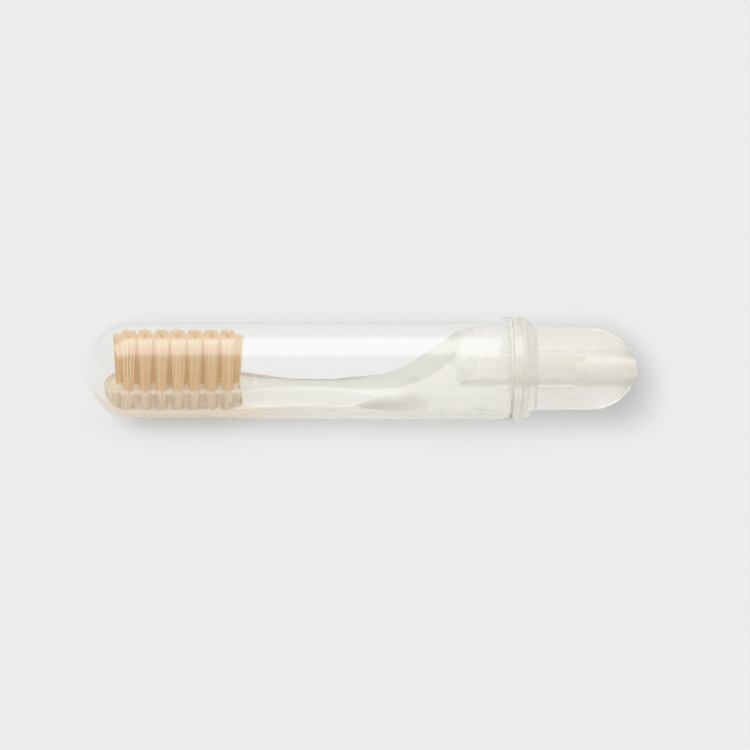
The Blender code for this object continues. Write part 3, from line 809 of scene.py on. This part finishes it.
def build_tuft(row, i, centre_x, centre_y, top_z, seed):
    """One tuft: each strand runs down one leg, under the anchor and up the other."""
    rng = np.random.default_rng(seed)
    lean = TUFT_LEAN * ROWS[row][1]
    spread = half_disc(rng)
    count = len(spread)
    cos, sin = math.cos(ANCHOR_TURN), math.sin(ANCHOR_TURN)

    def place(u, v, z):
        """From along and across the anchor to x, y, z."""
        return np.stack([centre_x + u * cos - v * sin, centre_y + u * sin + v * cos, z], 1)

    def leg(side):
        """Points of every strand from tip to anchor, and its u and v at the anchor."""
        u = spread[:, 0] + rng.normal(0, 0.03, count)
        v = side * np.abs(spread[:, 1]) + rng.normal(0, 0.02, count)
        # where the strand stands in the bundle, in x and y
        stand_x, stand_y = u * cos - v * sin, u * sin + v * cos
        # the trim is uneven, and one strand in ten is short
        tip_z = (top_z + rng.normal(-0.02, 0.07, count)
                 - (rng.random(count) < 0.10) * rng.uniform(0, 0.35, count))
        fray = rng.normal(0, 0.05, (count, 2))
        wild = rng.random(count) < 0.045
        fray[wild] += rng.normal(0, 0.38, (wild.sum(), 2))
        if row == "middle" and i == 8:
            # this tuft splays towards +X
            splayed = (stand_x > 0.75) & (rng.random(count) < 0.5)
            fray[splayed, 0] += rng.uniform(0.2, 0.75, splayed.sum())
        bow = rng.normal(0, 0.05, (count, 2))
        points = []
        for f in map(float, LEG_FRACTIONS):
            z = FACE_Z + f * (tip_z - FACE_Z)
            widen = f ** 0.75
            bend = math.sin(math.pi * f)
            x = (centre_x + stand_x * (BUNDLE_R + (TIP_RX - BUNDLE_R) * widen)
                 + fray[:, 0] * f**1.6 + bow[:, 0] * bend)
            y = (centre_y + stand_y * (BUNDLE_R + (TIP_RY - BUNDLE_R) * widen) + lean * f
                 + fray[:, 1] * f**1.6 + bow[:, 1] * bend)
            outside = (np.hypot(y, z) > CLEAR_R) & (np.abs(z) < CLEAR_R)
            limit = np.sqrt(np.maximum(0.01, CLEAR_R**2 - z**2))
            y = np.where(outside, np.sign(y) * limit, y)
            points.append(np.stack([x, y, z], 1))
        anchor_v = side * (ANCHOR_GAP + np.abs(v) * LEG_SPREAD)
        for z, f in LEG_BELOW:
            points.append(place(u * BUNDLE_R * (1 - 0.12 * f),
                                v * BUNDLE_R * (1 - f) + anchor_v * f, np.full(count, z)))
        return points, u, anchor_v

    down, down_u, down_v = leg(1)
    rise, rise_u, rise_v = leg(-1)
    depth = 0.14 + 0.20 * (np.abs(down_v) - ANCHOR_GAP) / LEG_SPREAD
    turn = []
    for k in range(1, TURN_STEPS):
        phase = math.pi * k / TURN_STEPS
        mix = 0.5 - 0.5 * math.cos(phase)
        turn.append(place((down_u * (1 - mix) + rise_u * mix) * BUNDLE_R * 0.88,
                          down_v * (1 - mix) + rise_v * mix,
                          TURN_Z - depth * math.sin(phase)))
    path = np.stack(down + turn + rise[::-1], 1)

    # 1 at the trimmed tips, close to 0 under the anchor
    along_leg = np.concatenate([0.3 + 0.7 * LEG_FRACTIONS, [0.25, 0.2, 0.15, 0.1]])
    along = np.concatenate([along_leg, np.full(TURN_STEPS - 1, 0.05), along_leg[::-1]])
    root_radius = rng.uniform(0.068, 0.090, count)
    radius = root_radius[:, None] * np.interp(along, [0, 0.3, 1.0], [1.0, 1.0, 0.90])[None]
    strand = np.clip(rng.normal(0.55, 0.20, count), 0, 1)
    verts, faces, strand_values, along_values = tube_mesh(
        path, radius, sides=6, strand=strand, along=np.tile(along, (count, 1)))
    obj = make_object(f"bristles_{row}_{i}", verts, faces, MAT_BRISTLE)
    fix_normals(obj)
    for name, values in (("strand", strand_values), ("along", along_values)):
        attribute = obj.data.attributes.new(name, "FLOAT", "POINT")
        attribute.data.foreach_set("value", values.astype(np.float32))
    return obj


def dress_anchor(anchor):
    """Brass and softened edges for a CAD anchor."""
    anchor.data.materials.clear()
    anchor.data.materials.append(MAT_BRASS)
    for slot in anchor.material_slots:
        slot.link = "DATA"
    bevel = anchor.modifiers.new("edge", "BEVEL")
    bevel.width = 0.05 * MM
    bevel.segments = 2
    bevel.limit_method = "ANGLE"


# ------------------------------------------------------------ stopper
def build_stopper():
    nub_r, nub_edge_r = 1.2, 0.35
    shoulder_x, fillet_r, shoulder_edge_r = -10.5, 0.25, 0.27
    plug_r = 2.42
    profile = arc(STOPPER_LO[0] + nub_edge_r, nub_r - nub_edge_r, nub_edge_r, 180, 90, 6)
    profile += [(-11.6, nub_r), (shoulder_x - fillet_r, nub_r)]
    profile += arc(shoulder_x - fillet_r, nub_r + fillet_r, fillet_r, -90, 0, 5)[1:]
    profile += [(shoulder_x, 1.8), (shoulder_x, 2.15)]
    profile += arc(shoulder_x + shoulder_edge_r, 2.15, shoulder_edge_r, 180, 90, 5)
    profile += [(x, plug_r) for x in np.linspace(-9.8, CORE_MOUTH_X - 0.25, 14)]
    # rounded outer end
    profile += [(CORE_MOUTH_X - 0.10, 2.40), (CORE_MOUTH_X + 0.02, 2.30),
                (CORE_MOUTH_X + 0.14, 2.12), (-0.15, 1.86), (-0.05, 1.66), (-0.008, 1.55),
                (0.0, 1.45), (0.0, 0.9)]
    return revolve("tail_stopper", profile, STOPPER_LO[0], 0.0, MAT_STOPPER, count=96)


# ------------------------------------------------------------ assembly
def hand_over(obj, rides, piece):
    """Tells the frame what the object moves with and replaces."""
    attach(obj, rides)
    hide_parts(piece)


hand_over(build_cap(), "cap_body", "cap")

body = build_handle()
cut_holes(body)
hand_over(body, "brush", "handle")

hand_over(build_stopper(), "brush", "stopper")

for k, (row, i, x, y, top_z) in enumerate(tuft_sites()):
    hand_over(build_tuft(row, i, x, y, top_z, seed=1000 + k), "brush", f"tuft_{row}_{i}")
    dress_anchor(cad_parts[f"anchor_{row}_{i}"])


# ------------------------------------------------------------ floor
FLOOR_Z = min(HANDLE_LO[2], CAP_LO[2]) - 1.2         # mm
SHADE_EDGE, SHADE_SOFTNESS = 8.9, 5.6    # mm, radius of the painted shade and its half blur
SHADE_SPAN = (-95.7, -3.8)               # mm, ends of the shade's middle line along X
OPEN_LEVEL, SHADE_DEPTH = 0.847, 0.42    # floor tone away from the brush, share left beside it


def painted_through_tone(nodes, place):
    """A painted, even lit tone that the floor shows when seen through clear plastic, in place of
    its shade.
    """
    # painted light: the strip under the brush is tinted warm, standing in for colour thrown down by
    # the bristles and the resin
    from_strip = nodes.calc("ABSOLUTE", nodes.calc("ADD", place["Y"], 3.0 * MM))
    painted_warm_strip = nodes.mix_colour(nodes.band(place["X"], (-62.0, -80.0)),
                            (0.76, 0.735, 0.675), (0.77, 0.65, 0.51))
    tone = nodes.mix_colour(nodes.band(from_strip, (9.0, 4.0)), (0.835, 0.835, 0.825), painted_warm_strip)
    return nodes.shader("Emission", {"Color": tone})


def painted_shade(nodes, place):
    """A broad soft shade round the brush, as big studio panels leave it: distance
    from a lying capsule, measured across the line of sight."""
    up_y, up_z = math.sin(CAMERA_ELEVATION), math.cos(CAMERA_ELEVATION)
    across = nodes.calc("MULTIPLY_ADD", place["Y"], up_y, (FLOOR_Z * up_z + 1.1) * MM)
    nearest = nodes.add("Clamp", {"Min": SHADE_SPAN[0] * MM, "Max": SHADE_SPAN[1] * MM,
                                  "Value": place["X"]}).outputs["Result"]
    past_end = nodes.calc("SUBTRACT", place["X"], nearest)
    offset = nodes.add("CombineXYZ", {"X": past_end, "Y": across}).outputs["Vector"]
    level = nodes.band(nodes.vector_calc("LENGTH", offset),
                       (SHADE_EDGE - SHADE_SOFTNESS, SHADE_EDGE + SHADE_SOFTNESS),
                       to_min=OPEN_LEVEL * SHADE_DEPTH, to_max=OPEN_LEVEL)
    return nodes.shader("Emission", {"Color": (1, 1, 1), "Strength": level})


def floor_material(name):
    material, nodes = new_material(name)
    coords = nodes.object_coords()
    place = nodes.split(coords)
    grain = nodes.mix_colour(nodes.noise(coords, scale=2500.0),
                             [FLOOR_GREY * 0.995] * 3, [FLOOR_GREY * 1.005] * 3)
    paper = nodes.shader("BsdfPrincipled", {"Roughness": 0.9, "Specular IOR Level": 0.0,
                                            "Base Color": grain})
    ray = nodes.add("LightPath").outputs
    even = nodes.mix_shader(nodes.calc("MULTIPLY", ray["Is Transmission Ray"], 0.85),
                            paper, painted_through_tone(nodes, place))
    # the shade belongs to the main line of sight; other views get the cast shadow alone
    to_camera = (-math.sin(CAMERA_YAW), -math.cos(CAMERA_ELEVATION) * math.cos(CAMERA_YAW),
                 math.sin(CAMERA_ELEVATION) * math.cos(CAMERA_YAW))
    incoming = nodes.add("NewGeometry").outputs["Incoming"]
    facing = nodes.vector_calc("DOT_PRODUCT", incoming, to_camera)
    seen = nodes.calc("MULTIPLY", nodes.ease(facing, 0.940, 0.975), ray["Is Camera Ray"])
    nodes.finish(nodes.mix_shader(nodes.calc("MULTIPLY", seen, 0.7), even,
                                  painted_shade(nodes, place)))
    return material


def build_floor():
    count, half = 9, 3000.0
    grid = np.linspace(-half, half, count)
    verts = [(x, y, FLOOR_Z) for y in grid for x in grid]
    faces = [(j * count + i, j * count + i + 1, (j + 1) * count + i + 1, (j + 1) * count + i)
             for j in range(count - 1) for i in range(count - 1)]
    make_object("floor", verts, faces, floor_material("pale_paper"))


# ------------------------------------------------------------ world and lights
def build_world():
    """A white sky, brighter towards the top and a little to the camera's side."""
    world = bpy.data.worlds.new("studio")
    bpy.context.scene.world = world
    world.use_nodes = True
    nodes = Nodes(world.node_tree, "OutputWorld")
    height = nodes.vector_calc("DOT_PRODUCT", nodes.add("TexCoord").outputs["Generated"],
                               Vector((0, -0.25, 1)).normalized())
    strength = nodes.ease(height, 0.25, 0.95, to_min=SKY_STRENGTH, to_max=SKY_STRENGTH + SKY_LIFT)
    nodes.finish(nodes.shader("Background", {"Color": (1.0, 1.0, 1.0), "Strength": strength}))


# both boxes span the sky from 50 degrees up on the camera's side (-Y), over the
# zenith, to 72 degrees up on the far side
BOX_HEIGHT = 2.0
BOX_Y = (-BOX_HEIGHT / math.tan(math.radians(50)), BOX_HEIGHT / math.tan(math.radians(72)))


def softbox(name, span_x, height, radiance, ramp, fade=None):
    """A rectangular softbox facing straight down. ramp is its brightness across Y
    as (position, level); fade is (start, end, level) along X. Positions run 0 to 1."""
    size_x, size_y = span_x[1] - span_x[0], BOX_Y[1] - BOX_Y[0]
    light = bpy.data.lights.new(name, "AREA")
    light.shape = "RECTANGLE"
    light.size, light.size_y = size_x, size_y
    light.energy = radiance * math.pi * size_x * size_y
    light.use_nodes = True
    nodes = Nodes(light.node_tree)
    emission = next(n for n in light.node_tree.nodes if n.type == "EMISSION")
    place = nodes.split(nodes.add("NewGeometry").outputs["Parametric"])
    levels = nodes.add("ValToRGB", {"Fac": place["Y"]})
    levels.color_ramp.interpolation = "EASE"
    set_ramp(levels.color_ramp, [(position, level, level, level) for position, level in ramp])
    strength = levels.outputs["Color"]
    if fade is not None:
        start, end, level = fade
        strength = nodes.calc("MULTIPLY", strength,
                              nodes.ease(place["X"], start, end, to_min=1.0, to_max=level))
    nodes.link(strength, emission.inputs["Strength"])
    obj = bpy.data.objects.new(name, light)
    bpy.context.scene.collection.objects.link(obj)
    obj.location = (0.5 * (span_x[0] + span_x[1]), 0.5 * (BOX_Y[0] + BOX_Y[1]), height)
    obj.rotation_mode = "QUATERNION"
    obj.rotation_quaternion = Vector((0.0, 0.0, -height)).to_track_quat("-Z", "Y")
    return obj


def build_lights():
    # the key stands more to the head's side, so the shadow falls past the tail
    key = softbox("key_softbox", span_x=(-2.20, 0.30), height=BOX_HEIGHT, radiance=KEY_RADIANCE,
                  ramp=[(0.0, 0.30), (0.45, 1.0)])
    key.visible_glossy = False
    key.visible_transmission = False
    # the card stops where the cap does: its mirror image ends at the cap mouth
    card = softbox("reflection_card", span_x=(-1.775, 0.171), height=BOX_HEIGHT - 0.02,
                   radiance=CARD_RADIANCE, fade=(0.952, 0.984, 0.42),
                   ramp=[(0.0, 0.03), (0.36, 1.0), (0.66, 1.0), (1.0, 0.03)])
    card.visible_diffuse = False
    card.visible_transmission = False


# ------------------------------------------------------------ camera and render
def build_camera():
    distance, view_width, sensor = 0.900, 0.150, 36.0    # m, m, mm
    level_forward = Vector((0, math.cos(CAMERA_ELEVATION), -math.sin(CAMERA_ELEVATION)))
    up = Vector((0, math.sin(CAMERA_ELEVATION), math.cos(CAMERA_ELEVATION)))
    level_right = Vector((1, 0, 0))
    forward = math.cos(CAMERA_YAW) * level_forward + math.sin(CAMERA_YAW) * level_right
    right = math.cos(CAMERA_YAW) * level_right - math.sin(CAMERA_YAW) * level_forward
    aim = Vector((-52.52 * MM, 0, 0)) - 1.3 * MM * up
    data = bpy.data.cameras.new("camera")
    data.sensor_width = sensor
    data.lens = sensor * distance / view_width
    data.clip_start, data.clip_end = 0.01, 20.0
    camera = bpy.data.objects.new("camera", data)
    bpy.context.scene.collection.objects.link(camera)
    matrix = Matrix((right, up, -forward)).transposed().to_4x4()
    matrix.translation = aim - distance * forward
    camera.matrix_world = matrix
    bpy.context.scene.camera = camera


def set_render():
    scene = bpy.context.scene
    view = scene.view_settings
    view.view_transform = "Standard"
    view.look = "None"
    # a short shoulder keeps the brightest reflections just under white
    view.use_curve_mapping = True
    mapping = view.curve_mapping
    mapping.extend = "HORIZONTAL"
    points = mapping.curves[3].points
    points[0].location = (0.0, 0.0)
    points[1].location = (1.0, 0.955)
    for level_in, level_out in ((0.30, 0.30), (0.60, 0.60), (0.82, 0.82), (0.92, 0.915)):
        points.new(level_in, level_out)
    mapping.update()
    cycles = scene.cycles
    cycles.max_bounces = 32
    cycles.transmission_bounces = 28
    cycles.glossy_bounces = 12
    cycles.diffuse_bounces = 14
    cycles.transparent_max_bounces = 48
    cycles.use_denoising = True
    cycles.caustics_reflective = True
    cycles.caustics_refractive = True
    cycles.sample_clamp_indirect = 6.0


build_floor()
build_world()
build_lights()
build_camera()
set_render()
